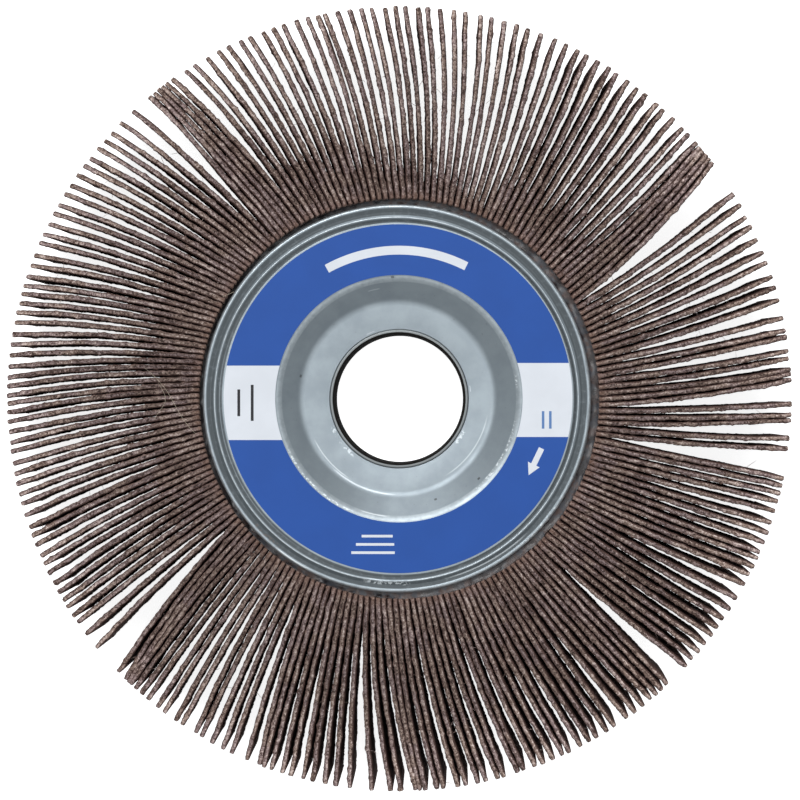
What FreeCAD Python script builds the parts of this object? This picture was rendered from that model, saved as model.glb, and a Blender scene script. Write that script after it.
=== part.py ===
import FreeCAD, Part
import math
import os

# An unmounted flap wheel for metal finishing. Sheets of abrasive cloth stand like the pages of a
# book around a cast resin core, and two dished steel flanges grip them by a notch in each side edge.
#
# Millimetres. The origin is at the middle of the bore, and +Z is the wheel's axis, out of the
# labelled side. +X and +Y lie in the wheel's plane. Angles are anticlockwise from +X, seen from +Z.

# Overall sizes
WHEEL_DIAMETER = 152.4
FACE_WIDTH = 25.4
BORE_DIAMETER = 25.4

# Flaps: coated cloth sheets, their roots side by side, bonded in packs
FLAPS_PER_PACK = 10
FLAP_THICKNESS = 0.8
ROOT_CLEARANCE = 0.06
TIP_CLEARANCE = 0.06
ROOT_START_ANGLE = 0.3

# The roots aren't quite evenly spaced round the core. How many times a turn they sway from their
# even places, how far, and at which angle the sway is greatest anticlockwise
ROOT_SWAYS = (
    (1, 2.55, 129.3),
    (2, 0.73, 110.2),
)

# Each bunch of flaps: how many there are, and where its first and last tips point. Springy sheets
# lean on one another in bunches at their tips, with open gaps between some of the bunches.
TIP_BUNCHES = (
    (3, 2.7, 4.3), (2, 5.7, 6.9), (2, 9.1, 10.0), (1, 11.9, 11.9),
    (10, 14.5, 31.5), (6, 37.0, 40.7), (2, 42.3, 43.6), (13, 45.7, 66.4),
    (8, 68.7, 82.0), (10, 84.0, 99.0), (2, 101.0, 102.0), (9, 103.6, 117.5),
    (4, 119.4, 125.2), (5, 126.4, 129.5), (1, 132.8, 132.8), (16, 135.5, 160.1),
    (4, 162.0, 165.9), (7, 167.3, 177.0), (3, 178.2, 180.9), (11, 181.9, 197.3),
    (3, 199.3, 202.0), (3, 203.7, 206.4), (6, 208.3, 215.0), (2, 216.9, 219.4),
    (1, 224.4, 224.4), (4, 225.7, 227.7), (2, 229.0, 230.1), (2, 232.0, 233.2),
    (2, 235.2, 236.5), (2, 238.5, 239.7), (3, 241.7, 244.8), (1, 247.3, 247.3),
    (3, 249.0, 251.0), (6, 252.7, 260.6), (3, 263.1, 268.7), (1, 270.3, 270.3),
    (3, 272.4, 274.1), (2, 275.6, 276.7), (2, 278.8, 280.0), (2, 281.8, 282.7),
    (2, 284.7, 285.6), (2, 287.7, 288.6), (10, 290.3, 303.4), (4, 305.7, 309.9),
    (3, 311.0, 313.1), (7, 317.0, 325.8), (4, 327.6, 333.6), (3, 334.7, 337.0),
    (5, 338.5, 344.8), (3, 346.1, 348.2), (2, 352.5, 354.2), (2, 356.8, 357.5),
    (1, 359.1, 359.1),
)

# How far a tip strays within its bunch, as a share of the free room beside it, and the turn that
# each next flap adds to its stray, which never comes round to the same place
TIP_STRAY_SHARE = 0.12
TIP_STRAY_TURN = 137.5

# Flanges: pressed steel cups, alike front and rear
FLANGE_DIAMETER = 75.0
SHEET_THICKNESS = 1.2
FLANGE_INSET = 0.5
RECESS_DEPTH = 3.4
RECESS_FLOOR_DIAMETER = 37.8
LAND_INNER_DIAMETER = 47.2
RIM_BEND = 1.3
SKIRT_DEPTH = 3.6
NOTCH_CLEARANCE = 0.02
NOTCH_GAP = 1.3

# Arbor sleeve: a steel tube through the flanges, its ends standing a little proud of their floors
SLEEVE_WALL = 0.8
SLEEVE_STAND = 0.35

# Front label: a thin ring stuck on the front flange's land
LABEL_THICKNESS = 0.15
LABEL_INNER_MARGIN = 0.3
LABEL_OUTER_MARGIN = 3.7

# Values that follow from the sizes above
TIP_RADIUS = WHEEL_DIAMETER / 2
HALF_FACE = FACE_WIDTH / 2
BORE_RADIUS = BORE_DIAMETER / 2
SLEEVE_RADIUS = BORE_RADIUS + SLEEVE_WALL
RIM_RADIUS = FLANGE_DIAMETER / 2
SKIRT_INNER_RADIUS = RIM_RADIUS - SHEET_THICKNESS
FLOOR_RADIUS = RECESS_FLOOR_DIAMETER / 2
LAND_RADIUS = LAND_INNER_DIAMETER / 2
LAND_Z = HALF_FACE - FLANGE_INSET
FLOOR_Z = LAND_Z - RECESS_DEPTH
UNDER_LAND_Z = LAND_Z - SHEET_THICKNESS
UNDER_FLOOR_Z = FLOOR_Z - SHEET_THICKNESS
SKIRT_END_Z = LAND_Z - SKIRT_DEPTH
DISH_SLOPE = math.atan2(RECESS_DEPTH, LAND_RADIUS - FLOOR_RADIUS)
INSIDE_SHIFT = SHEET_THICKNESS * math.tan(DISH_SLOPE / 2)
FLAP_COUNT = sum(count for count, first, last in TIP_BUNCHES)
SHOULDER_RADIUS = RIM_RADIUS + NOTCH_GAP
NECK_HALF_WIDTH = SKIRT_END_Z - NOTCH_CLEARANCE


def root_angles():
    """Where each flap's root stands."""
    angles = []
    for i in range(FLAP_COUNT):
        even = 360 * i / FLAP_COUNT
        sway = sum(far * math.cos(math.radians(times * (even - peak))) for times, far, peak in ROOT_SWAYS)
        angles.append(ROOT_START_ANGLE + even + sway)
    return angles


def root_radius(angles):
    """How far out the roots start, for the two that stand closest to lie side by side."""
    closest = min(after - before for before, after in zip(angles, angles[1:] + [angles[0] + 360]))
    return (FLAP_THICKNESS + ROOT_CLEARANCE) / math.radians(closest)


ROOT_ANGLES = root_angles()
ROOT_RADIUS = root_radius(ROOT_ANGLES)


def turned(outline):
    """The ring that a closed outline of (radius, z) points sweeps about the wheel's axis."""
    corners = [FreeCAD.Vector(radius, 0, z) for radius, z in outline + outline[:1]]
    face = Part.Face(Part.makePolygon(corners))
    return face.revolve(FreeCAD.Vector(), FreeCAD.Vector(0, 0, 1), 360)


def turned_over(shape):
    """The same piece on the wheel's other side."""
    return shape.mirror(FreeCAD.Vector(), FreeCAD.Vector(0, 0, 1))


def flange():
    """The front flange, pressed from one sheet: floor, sloping dish, land, bent rim and skirt."""
    outer_face = [
        (SLEEVE_RADIUS, FLOOR_Z),
        (FLOOR_RADIUS, FLOOR_Z),
        (LAND_RADIUS, LAND_Z),
        (RIM_RADIUS - RIM_BEND, LAND_Z),
        (RIM_RADIUS, LAND_Z - RIM_BEND),
        (RIM_RADIUS, SKIRT_END_Z),
    ]
    inner_face = [
        (SKIRT_INNER_RADIUS, SKIRT_END_Z),
        (SKIRT_INNER_RADIUS, UNDER_LAND_Z),
        (LAND_RADIUS + INSIDE_SHIFT, UNDER_LAND_Z),
        (FLOOR_RADIUS + INSIDE_SHIFT, UNDER_FLOOR_Z),
        (SLEEVE_RADIUS, UNDER_FLOOR_Z),
    ]
    return turned(outer_face + inner_face)


def arbor_sleeve():
    """The tube that lines the bore from one flange to the other."""
    end = FLOOR_Z + SLEEVE_STAND
    return turned([(BORE_RADIUS, -end), (SLEEVE_RADIUS, -end), (SLEEVE_RADIUS, end), (BORE_RADIUS, end)])


def resin_core():
    """The cast ring between the flanges' floors, from the sleeve to the flaps' root edges."""
    end = UNDER_FLOOR_Z
    return turned([(SLEEVE_RADIUS, -end), (ROOT_RADIUS, -end), (ROOT_RADIUS, end), (SLEEVE_RADIUS, end)])


def front_label():
    """The ring-shaped label on the front flange's land."""
    inner = LAND_RADIUS + LABEL_INNER_MARGIN
    outer = RIM_RADIUS - LABEL_OUTER_MARGIN
    top = LAND_Z + LABEL_THICKNESS
    return turned([(inner, LAND_Z), (outer, LAND_Z), (outer, top), (inner, top)])


def tip_angles():
    """Where each flap's tip points, in the order of the roots. Tips that meet lie side by side."""
    touching = math.degrees((FLAP_THICKNESS + TIP_CLEARANCE) / TIP_RADIUS)
    angles = []
    for count, first, last in TIP_BUNCHES:
        pitch = max((last - first) / max(count - 1, 1), touching)
        start = (first + last - pitch * (count - 1)) / 2
        for place in range(count):
            turn = math.radians(TIP_STRAY_TURN * len(angles))
            stray = TIP_STRAY_SHARE * (pitch - touching) * math.sin(turn)
            angles.append(start + pitch * place + stray)
    return angles


def sheet_sides(points):
    """The two faces of a sheet whose middle follows points: pairs of points, mitred at each bend."""
    headings = [(b - a).normalize() for a, b in zip(points, points[1:])]
    pairs = []
    for before, point, after in zip(headings[:1] + headings, points, headings + headings[-1:]):
        mean = (before + after).normalize()
        across = FreeCAD.Vector(-mean.y, mean.x, 0) * (FLAP_THICKNESS / 2 / mean.dot(after))
        pairs.append((point + across, point - across))
    return pairs


def sheet(pairs, half_width):
    """The stretch of a flap between pairs of face points, as wide as both half widths."""
    outline = [left for left, right in pairs] + [right for left, right in reversed(pairs)]
    face = Part.Face(Part.makePolygon(outline + outline[:1]))
    face.translate(FreeCAD.Vector(0, 0, -half_width))
    return face.extrude(FreeCAD.Vector(0, 0, 2 * half_width))


def flap(root_angle, tip_angle):
    """One flap. Its narrow neck stands straight out between the flanges, and from the notches
    outwards its body is as wide as the wheel's face and leans over to its tip.
    """
    lean = math.radians(tip_angle - root_angle)
    root = FreeCAD.Vector(ROOT_RADIUS, 0, 0)
    shoulder = FreeCAD.Vector(SHOULDER_RADIUS, 0, 0)
    tip = FreeCAD.Vector(TIP_RADIUS * math.cos(lean), TIP_RADIUS * math.sin(lean), 0)
    sides = sheet_sides([root, shoulder, tip])
    neck = sheet(sides[:2], NECK_HALF_WIDTH)
    body = sheet(sides[1:], HALF_FACE)
    whole = body.fuse(neck).Solids[0]
    whole.rotate(FreeCAD.Vector(), FreeCAD.Vector(0, 0, 1), root_angle)
    return whole


def flap_packs():
    """The flaps as separate sheets, ten to a pack, by node name."""
    flaps = [flap(root, tip) for root, tip in zip(ROOT_ANGLES, tip_angles())]
    packs = {}
    for first in range(0, len(flaps), FLAPS_PER_PACK):
        name = f"flap_pack_{first // FLAPS_PER_PACK + 1:02d}"
        packs[name] = Part.makeCompound(flaps[first:first + FLAPS_PER_PACK])
    return packs


def main():
    """Build every piece and write each to its own file."""
    front = flange()
    nodes = {
        "arbor_sleeve": arbor_sleeve(),
        "resin_core": resin_core(),
        "front_flange": front,
        "rear_flange": turned_over(front),
        "front_label": front_label(),
    }
    nodes.update(flap_packs())
    os.makedirs("parts", exist_ok=True)
    for name, shape in nodes.items():
        shape.exportStep(f"parts/{name}.step")


main()
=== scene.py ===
"""Looks for an unmounted flap wheel lying on its side: flaps, flanges, sleeve, resin and label.

Sizes are in millimetres unless a name says otherwise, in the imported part's own frame: the origin
is at the middle of the bore and +Z is the wheel's axis, out of the labelled side.
"""

import logging
import math
from dataclasses import dataclass, field
from enum import Enum
from typing import Callable, Iterable, Optional, Sequence

import bmesh
import bpy
import numpy as np
from mathutils import Matrix, Vector
from mathutils.geometry import delaunay_2d_cdt


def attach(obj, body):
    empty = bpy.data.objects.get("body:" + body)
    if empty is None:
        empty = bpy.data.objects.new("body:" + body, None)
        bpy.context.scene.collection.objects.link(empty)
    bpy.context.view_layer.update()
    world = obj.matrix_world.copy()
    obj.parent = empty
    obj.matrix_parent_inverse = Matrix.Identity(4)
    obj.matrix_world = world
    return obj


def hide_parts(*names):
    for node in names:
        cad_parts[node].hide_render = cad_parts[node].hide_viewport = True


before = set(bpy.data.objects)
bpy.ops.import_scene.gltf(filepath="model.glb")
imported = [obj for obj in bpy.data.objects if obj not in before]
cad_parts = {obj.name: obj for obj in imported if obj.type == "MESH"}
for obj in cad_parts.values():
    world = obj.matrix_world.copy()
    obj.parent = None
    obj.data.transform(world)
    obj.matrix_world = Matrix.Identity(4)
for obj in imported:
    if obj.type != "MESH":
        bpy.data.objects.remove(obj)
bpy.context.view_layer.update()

LOG = logging.getLogger("flap_wheel")
MM = 0.001
BODY = "root"
SEED = 20

Point2 = tuple[float, float]
Colour = tuple[float, float, float]

# A flange's rolled bead and lip, and its land's edge, aren't quite round the axis: their middles
BEAD_MIDDLE: Point2 = (-0.50, -0.10)
LIP_MIDDLE: Point2 = (-0.42, 0.06)
LAND_MIDDLE: Point2 = (-0.19, 0.0)


class Slot(Enum):
    """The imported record's material slots."""

    CLOTH = "abrasive_cloth"
    FLANGE = "flange_steel"
    SLEEVE = "sleeve_steel"
    RESIN = "resin"
    LABEL = "label"


class Side(Enum):
    """The wheel's two sides, each with the sign of its Z."""

    FRONT = 1
    REAR = -1


# Mesh helpers


class Surface:
    """Collects vertices and faces in millimetres and turns them into one named piece."""

    def __init__(self) -> None:
        """Start with nothing in it."""
        self.vertices: list[np.ndarray] = []
        self.faces: list[tuple[int, ...]] = []
        self.finishes: list[int] = []
        self.tones: list[np.ndarray] = []
        self.count = 0

    def add_points(self, points: np.ndarray, tone: float = 0.5) -> int:
        """Add points.

        Args:
            points: An N by 3 array, in millimetres.
            tone: A number from 0 to 1 that the finish can read as the attribute "tone".

        Returns:
            The index of the first of them.
        """
        first = self.count
        self.vertices.append(points)
        self.tones.append(np.full(len(points), tone))
        self.count += len(points)
        return first

    def add_face(self, corners: Iterable[int], finish: int = 0) -> None:
        """Add one face, its corners anticlockwise seen from outside.

        Args:
            corners: The indices of its vertices.
            finish: Which of the piece's finishes it takes.
        """
        self.faces.append(tuple(corners))
        self.finishes.append(finish)

    def add_strip(self, low: Sequence[int], high: Sequence[int], finishes: Sequence[int]) -> None:
        """Join two closed rings of as many points with quads.

        Args:
            low: The indices of the first ring.
            high: The indices of the second ring.
            finishes: The finish of each quad round the ring.
        """
        count = len(low)
        for k in range(count):
            after = (k + 1) % count
            self.add_face((low[k], low[after], high[after], high[k]), finishes[k])

    def piece(
        self,
        name: str,
        materials: Sequence[bpy.types.Material],
        slot: Slot,
        replaces: Sequence[str] = (),
        smooth: bool = True,
    ) -> bpy.types.Object:
        """Make the object, which rides on the part's one body.

        Args:
            name: The piece's name.
            materials: Its finishes, in the order that the faces number them.
            slot: The record's material slot; not used.
            replaces: The CAD nodes that it stands for.
            smooth: Whether its faces are shaded smooth.

        Returns:
            The new object.
        """
        mesh = bpy.data.meshes.new(name)
        points = np.vstack(self.vertices) * MM
        mesh.from_pydata(points.tolist(), [], self.faces)
        mesh.polygons.foreach_set("material_index", np.array(self.finishes, dtype=np.int32))
        mesh.polygons.foreach_set("use_smooth", np.full(len(self.faces), smooth))
        tone = mesh.attributes.new("tone", "FLOAT", "POINT")
        tone.data.foreach_set("value", np.concatenate(self.tones).astype(np.float32))
        for material in materials:
            mesh.materials.append(material)
        mesh.validate()
        mesh.update()
        piece = bpy.data.objects.new(name, mesh)
        bpy.context.scene.collection.objects.link(piece)
        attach(piece, BODY)
        if replaces:
            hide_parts(*replaces)
        triangles = sum(len(face) - 2 for face in self.faces)
        LOG.info("%s: %d triangles", name, triangles)
        return piece


def smooth_noise(rng: np.random.Generator, count: int, spread: float) -> np.ndarray:
    """A row of random values that change smoothly.

    Args:
        rng: The source of random numbers.
        count: How many values.
        spread: The smoothing width, in places along the row.

    Returns:
        The values, with a mean of about 0 and a spread of about 1.
    """
    half = max(1, int(3 * spread))
    kernel = np.exp(-0.5 * (np.arange(-half, half + 1) / spread) ** 2)
    raw = rng.normal(size=count + 2 * half)
    return np.convolve(raw, kernel, mode="valid") / math.sqrt(float((kernel**2).sum()))


def ring_noise(rng: np.random.Generator, count: int, waves: int, roughness: float) -> np.ndarray:
    """Random values round a closed ring.

    Args:
        rng: The source of random numbers.
        count: How many places round the ring.
        waves: The most waves round the ring.
        roughness: How fast finer waves fade: 0 keeps them all as high.

    Returns:
        The values, with a spread of 1.
    """
    turn = np.linspace(0, 2 * math.pi, count, endpoint=False)
    total = np.zeros(count)
    for wave in range(1, waves + 1):
        height = rng.normal() / wave**roughness
        total += height * np.sin(wave * turn + rng.uniform(0, 2 * math.pi))
    return total / (total.std() or 1.0)


def rounded(corners: Sequence[tuple[float, float, float]], steps: int = 5) -> list[Point2]:
    """An outline with its corners rounded.

    Args:
        corners: (radius, z, bend radius) of each corner of a closed outline.
        steps: How many points each bend gets.

    Returns:
        The outline's points, in order.
    """
    points: list[Point2] = []
    count = len(corners)
    for i, (x, y, bend) in enumerate(corners):
        here = Vector((x, y))
        before = Vector(corners[i - 1][:2]) - here
        after = Vector(corners[(i + 1) % count][:2]) - here
        if bend <= 0:
            points.append((x, y))
            continue
        u, v = before.normalized(), after.normalized()
        half = u.angle(v) / 2
        reach = min(bend / math.tan(half), 0.49 * before.length, 0.49 * after.length)
        bend = reach * math.tan(half)
        middle = here + (u + v).normalized() * (bend / math.sin(half))
        start = (here + u * reach) - middle
        sweep = start.angle_signed((here + v * reach) - middle)
        for k in range(steps):
            turn = -sweep * k / (steps - 1)
            spin = Vector((
                start.x * math.cos(turn) - start.y * math.sin(turn),
                start.x * math.sin(turn) + start.y * math.cos(turn),
            ))
            points.append(tuple(middle + spin))
    return points


Points3 = tuple[np.ndarray, np.ndarray, np.ndarray]
Shift = Callable[[np.ndarray, np.ndarray, np.ndarray], Points3]


def lathe(
    surface: Surface,
    outline: Sequence[Point2],
    segments: int,
    shift: Optional[Shift] = None,
) -> None:
    """Turn a closed outline about the wheel's axis into a ring.

    Args:
        surface: Where the ring goes.
        outline: Its (radius, z) points, anticlockwise with the radius to the right and z up.
        segments: How many steps round the axis.
        shift: Given radius, z and turn, returns how far each point moves along x, y and z.
    """
    profile = np.array(outline)
    turn = np.linspace(0, 2 * math.pi, segments, endpoint=False)
    radius = np.repeat(profile[:, 0][None, :], segments, 0)
    z = np.repeat(profile[:, 1][None, :], segments, 0)
    angle = np.repeat(turn[:, None], len(profile), 1)
    x, y = radius * np.cos(angle), radius * np.sin(angle)
    if shift is not None:
        dx, dy, dz = shift(radius, z, angle)
        x, y, z = x + dx, y + dy, z + dz
    first = surface.add_points(np.stack([x, y, z], -1).reshape(-1, 3))
    count = len(profile)
    for i in range(segments):
        here = first + i * count
        there = first + (i + 1) % segments * count
        for k in range(count):
            after = (k + 1) % count
            surface.add_face((here + k, here + after, there + after, there + k))


def tube(surface: Surface, path: np.ndarray, radius: float, tone: float = 0.5) -> None:
    """A thin three-sided tube along a path, with pointed ends.

    Args:
        surface: Where it goes.
        path: Its middle points, an N by 3 array.
        radius: Its radius in the middle.
        tone: The tone of its points.
    """
    along = np.gradient(path, axis=0)
    along /= np.linalg.norm(along, axis=1)[:, None]
    across = np.cross(along, (0.0, 0.0, 1.0))
    across /= np.linalg.norm(across, axis=1)[:, None] + 1e-9
    up = np.cross(across, along)
    places = np.arange(len(path))
    widths = radius * np.clip(np.minimum(places, places[::-1]) + 0.25, 0, 1)
    rings = []
    for turn in (0, 2 * math.pi / 3, 4 * math.pi / 3):
        rings.append(path + widths[:, None] * (across * math.cos(turn) + up * math.sin(turn)))
    points = np.stack(rings, 1)
    first = surface.add_points(points.reshape(-1, 3), tone)
    for k in range(len(path) - 1):
        low = range(first + 3 * k, first + 3 * k + 3)
        high = range(first + 3 * k + 3, first + 3 * k + 6)
        surface.add_strip(low, high, [0] * 3)
    last = first + 3 * (len(path) - 1)
    surface.add_face((first + 2, first + 1, first))
    surface.add_face((last, last + 1, last + 2))


# Node helpers


class Recipe:
    """A material and short ways to put nodes into it."""

    def __init__(self, name: str) -> None:
        """Start a material with one glossy or matt shader.

        Args:
            name: The material's name.
        """
        self.material = bpy.data.materials.new(name)
        self.material.use_nodes = True
        self.tree = self.material.node_tree
        self.shader = self.tree.nodes["Principled BSDF"]
        self.place = self.add("ShaderNodeTexCoord").outputs["Object"]

    def add(self, kind: str, **settings: object) -> bpy.types.Node:
        """Add a node.

        Args:
            kind: The node's type.
            settings: Its own settings.

        Returns:
            The node.
        """
        node = self.tree.nodes.new(kind)
        for key, value in settings.items():
            setattr(node, key, value)
        return node

    def feed(self, socket: bpy.types.NodeSocket, value: object) -> None:
        """Link a socket to another one, or set its value.

        Args:
            socket: The input.
            value: An output socket, a number, a vector or a colour.
        """
        if isinstance(value, bpy.types.NodeSocket):
            self.tree.links.new(value, socket)
        elif isinstance(value, tuple) and len(value) == 3 and socket.type == "RGBA":
            socket.default_value = (*value, 1.0)
        else:
            socket.default_value = value

    def set(self, **values: object) -> None:
        """Feed the shader's inputs, named with underscores for spaces."""
        for key, value in values.items():
            self.feed(self.shader.inputs[key.replace("_", " ")], value)

    def math(
        self, operation: str, a: object, b: object = 0.0, clamp: bool = False
    ) -> bpy.types.NodeSocket:
        """One sum of two numbers."""
        node = self.add("ShaderNodeMath", operation=operation, use_clamp=clamp)
        self.feed(node.inputs[0], a)
        self.feed(node.inputs[1], b)
        return node.outputs[0]

    def noise(
        self,
        size: float,
        detail: float = 2.0,
        roughness: float = 0.5,
    ) -> bpy.types.NodeSocket:
        """Cloudy noise.

        Args:
            size: The size of its blotches in millimetres.
            detail: How many finer layers it has.
            roughness: How strong the finer layers are.

        Returns:
            Its value, about 0.5 on average.
        """
        node = self.add("ShaderNodeTexNoise")
        self.feed(node.inputs["Vector"], self.place)
        self.feed(node.inputs["Scale"], 1.0 / (size * MM))
        self.feed(node.inputs["Detail"], detail)
        self.feed(node.inputs["Roughness"], roughness)
        return node.outputs["Fac"]

    def cells(self, size: float) -> bpy.types.NodeSocket:
        """The distance to the nearest of scattered points, as grains have.

        Args:
            size: The size of a cell in millimetres.

        Returns:
            The distance, in cells.
        """
        node = self.add("ShaderNodeTexVoronoi")
        self.feed(node.inputs["Vector"], self.place)
        self.feed(node.inputs["Scale"], 1.0 / (size * MM))
        return node.outputs["Distance"]

    def ramp(
        self,
        value: object,
        low: float,
        high: float,
        to_low: float = 0.0,
        to_high: float = 1.0,
    ) -> bpy.types.NodeSocket:
        """Map a range of a value onto another, smoothly and with ends held."""
        node = self.add("ShaderNodeMapRange", interpolation_type="SMOOTHSTEP")
        for socket, number in zip(node.inputs[:5], (value, low, high, to_low, to_high)):
            self.feed(socket, number)
        return node.outputs[0]

    def blend(self, share: object, a: object, b: object) -> bpy.types.NodeSocket:
        """A colour between two."""
        node = self.add("ShaderNodeMix", data_type="RGBA")
        self.feed(node.inputs[0], share)
        self.feed(node.inputs[6], a)
        self.feed(node.inputs[7], b)
        return node.outputs[2]

    def scaled(self, colour: object, factor: object) -> bpy.types.NodeSocket:
        """A colour made lighter or darker by a factor."""
        node = self.add("ShaderNodeVectorMath", operation="SCALE")
        self.feed(node.inputs[0], colour)
        self.feed(node.inputs["Scale"], factor)
        return node.outputs[0]

    def radius(self, middle: Point2 = (0.0, 0.0)) -> bpy.types.NodeSocket:
        """How many millimetres a point lies from the wheel's axis, or from a middle beside it."""
        flat = self.add("ShaderNodeVectorMath", operation="MULTIPLY_ADD")
        self.feed(flat.inputs[0], self.place)
        flat.inputs[1].default_value = (1 / MM, 1 / MM, 0)
        flat.inputs[2].default_value = (-middle[0], -middle[1], 0)
        length = self.add("ShaderNodeVectorMath", operation="LENGTH")
        self.feed(length.inputs[0], flat.outputs[0])
        return length.outputs["Value"]

    def turn(self) -> bpy.types.NodeSocket:
        """The angle of a point about the wheel's axis, in degrees from -180 to 180."""
        split = self.add("ShaderNodeSeparateXYZ")
        self.feed(split.inputs[0], self.place)
        angle = self.math("ARCTAN2", split.outputs[1], split.outputs[0])
        return self.math("MULTIPLY", angle, 180 / math.pi)

    def tone(self) -> bpy.types.NodeSocket:
        """The number from 0 to 1 that each sheet carries."""
        return self.add("ShaderNodeAttribute", attribute_name="tone").outputs["Fac"]

    def bump(
        self, height: object, depth: float, strength: float, under: object = None
    ) -> bpy.types.NodeSocket:
        """A normal tilted by a height.

        Args:
            height: The height's value, 0 to 1.
            depth: How deep that is, in millimetres.
            strength: How much of it shows.
            under: The normal of a coarser bump below it.

        Returns:
            The normal.
        """
        node = self.add("ShaderNodeBump")
        self.feed(node.inputs["Height"], height)
        node.inputs["Distance"].default_value = depth * MM
        node.inputs["Strength"].default_value = strength
        if under is not None:
            self.feed(node.inputs["Normal"], under)
        return node.outputs["Normal"]


# Finishes


@dataclass(frozen=True)
class CutEdge:
    """The flaps' cut edges: brown fibres and grains, paler at the tips, redder at the rim."""

    name: str = "cut_cloth"
    pit: Colour = (0.034, 0.020, 0.016)
    grain: Colour = (0.210, 0.152, 0.126)
    cool_grain: Colour = (0.200, 0.146, 0.142)
    bright: Colour = (0.470, 0.385, 0.350)
    root: Colour = (0.170, 0.098, 0.072)
    root_from: float = 38.6
    root_to: float = 41.0
    pale_from: float = 58.0
    pale_to: float = 72.0
    pale_gain: float = 1.45
    coarse_size: float = 0.62
    fine_size: float = 0.27
    fine_share: float = 0.55
    patch_size: float = 3.5
    patch_share: float = 0.20
    sheet_share: float = 0.08
    hue_size: float = 5.0

    def material(self) -> bpy.types.Material:
        """Make the material."""
        recipe = Recipe(self.name)
        coarse = recipe.noise(self.coarse_size, 2.0, 0.6)
        fine = recipe.noise(self.fine_size, 2.0, 0.6)
        mixed = recipe.math(
            "ADD",
            recipe.math("MULTIPLY", coarse, 1 - self.fine_share),
            recipe.math("MULTIPLY", fine, self.fine_share),
        )
        patches = recipe.noise(self.patch_size, 2.0, 0.5)
        for value, share in ((recipe.tone(), self.sheet_share), (patches, self.patch_share)):
            away = recipe.math("SUBTRACT", value, 0.5)
            mixed = recipe.math("ADD", mixed, recipe.math("MULTIPLY", away, share))
        hue = recipe.ramp(recipe.noise(self.hue_size, 2.0, 0.5), 0.42, 0.58)
        grain = recipe.blend(hue, self.grain, self.cool_grain)
        body = recipe.blend(recipe.ramp(mixed, 0.39, 0.51), self.pit, grain)
        body = recipe.blend(recipe.ramp(mixed, 0.52, 0.66), body, self.bright)
        radius = recipe.radius()
        gain = recipe.ramp(radius, self.pale_from, self.pale_to, 1.0, self.pale_gain)
        body = recipe.scaled(body, gain)
        near_root = recipe.ramp(radius, self.root_from, self.root_to, 0.6, 0.0)
        colour = recipe.blend(near_root, body, self.root)
        recipe.set(Base_Color=colour, Roughness=0.82, Specular_IOR_Level=0.25)
        lumps = recipe.bump(coarse, 0.16, 0.7)
        recipe.set(Normal=recipe.bump(fine, 0.08, 0.8, lumps))
        return recipe.material


@dataclass(frozen=True)
class GritFace:
    """The flaps' coated faces: dark brown grains packed close, with a few that catch the light."""

    shade: Colour = (0.075, 0.046, 0.040)
    grain: Colour = (0.210, 0.142, 0.122)
    grain_size: float = 0.42
    cloud_size: float = 1.6

    def material(self) -> bpy.types.Material:
        """Make the material."""
        recipe = Recipe("grit_face")
        grains = recipe.cells(self.grain_size)
        clouds = recipe.noise(self.cloud_size, 2.0, 0.5)
        lit = recipe.math("MULTIPLY", recipe.math("SUBTRACT", 1.0, grains), clouds)
        colour = recipe.blend(recipe.ramp(lit, 0.15, 0.5), self.shade, self.grain)
        recipe.set(Base_Color=colour, Roughness=0.7, Specular_IOR_Level=0.12)
        recipe.set(Normal=recipe.bump(grains, 0.18, 0.8))
        return recipe.material


@dataclass(frozen=True)
class ClothBack:
    """The flaps' backs: dark maroon woven cloth soaked with resin."""

    valley: Colour = (0.070, 0.041, 0.035)
    thread: Colour = (0.175, 0.110, 0.096)
    pitch: float = 0.55
    cloud_size: float = 2.2

    def material(self) -> bpy.types.Material:
        """Make the material. Threads run along the wheel's axis and outwards from it."""
        recipe = Recipe("cloth_back")
        split = recipe.add("ShaderNodeSeparateXYZ")
        recipe.feed(split.inputs[0], recipe.place)
        along = recipe.math("MULTIPLY", split.outputs[2], 2 * math.pi / (self.pitch * MM))
        out = recipe.math("MULTIPLY", recipe.radius(), 2 * math.pi / self.pitch)
        weave = recipe.math("MULTIPLY", recipe.math("SINE", along), recipe.math("SINE", out))
        height = recipe.ramp(weave, -1.0, 1.0)
        clouds = recipe.noise(self.cloud_size, 3.0, 0.6)
        share = recipe.math("MULTIPLY", height, recipe.ramp(clouds, 0.3, 0.7))
        colour = recipe.blend(share, self.valley, self.thread)
        recipe.set(Base_Color=colour, Roughness=0.8, Specular_IOR_Level=0.1)
        recipe.set(Normal=recipe.bump(height, 0.08, 0.6))
        return recipe.material


@dataclass(frozen=True)
class Mark:
    """One arc on the front flange: a mark of use, such as a scratch, scuff, soot or rust, or a
    painted highlight or glint.

    Attributes:
        radius: The arc's radius in millimetres.
        reach: How far it fades out on either side.
        angle: The angle of its middle, in degrees from 0 to 360.
        sweep: How many degrees it runs either way.
        strength: How much of it shows.
        colour: Its colour.
        broken: Whether it is broken up into flecks.
    """

    radius: float
    reach: float
    angle: float
    sweep: float
    strength: float
    colour: Colour
    broken: bool = False


# Bare metal for scratches and scuffs, also used for painted highlights and glints.
BARE_AND_GLINT = (0.80, 0.86, 0.89)
SOOT = (0.035, 0.035, 0.036)
RUST = (0.15, 0.125, 0.11)

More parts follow.
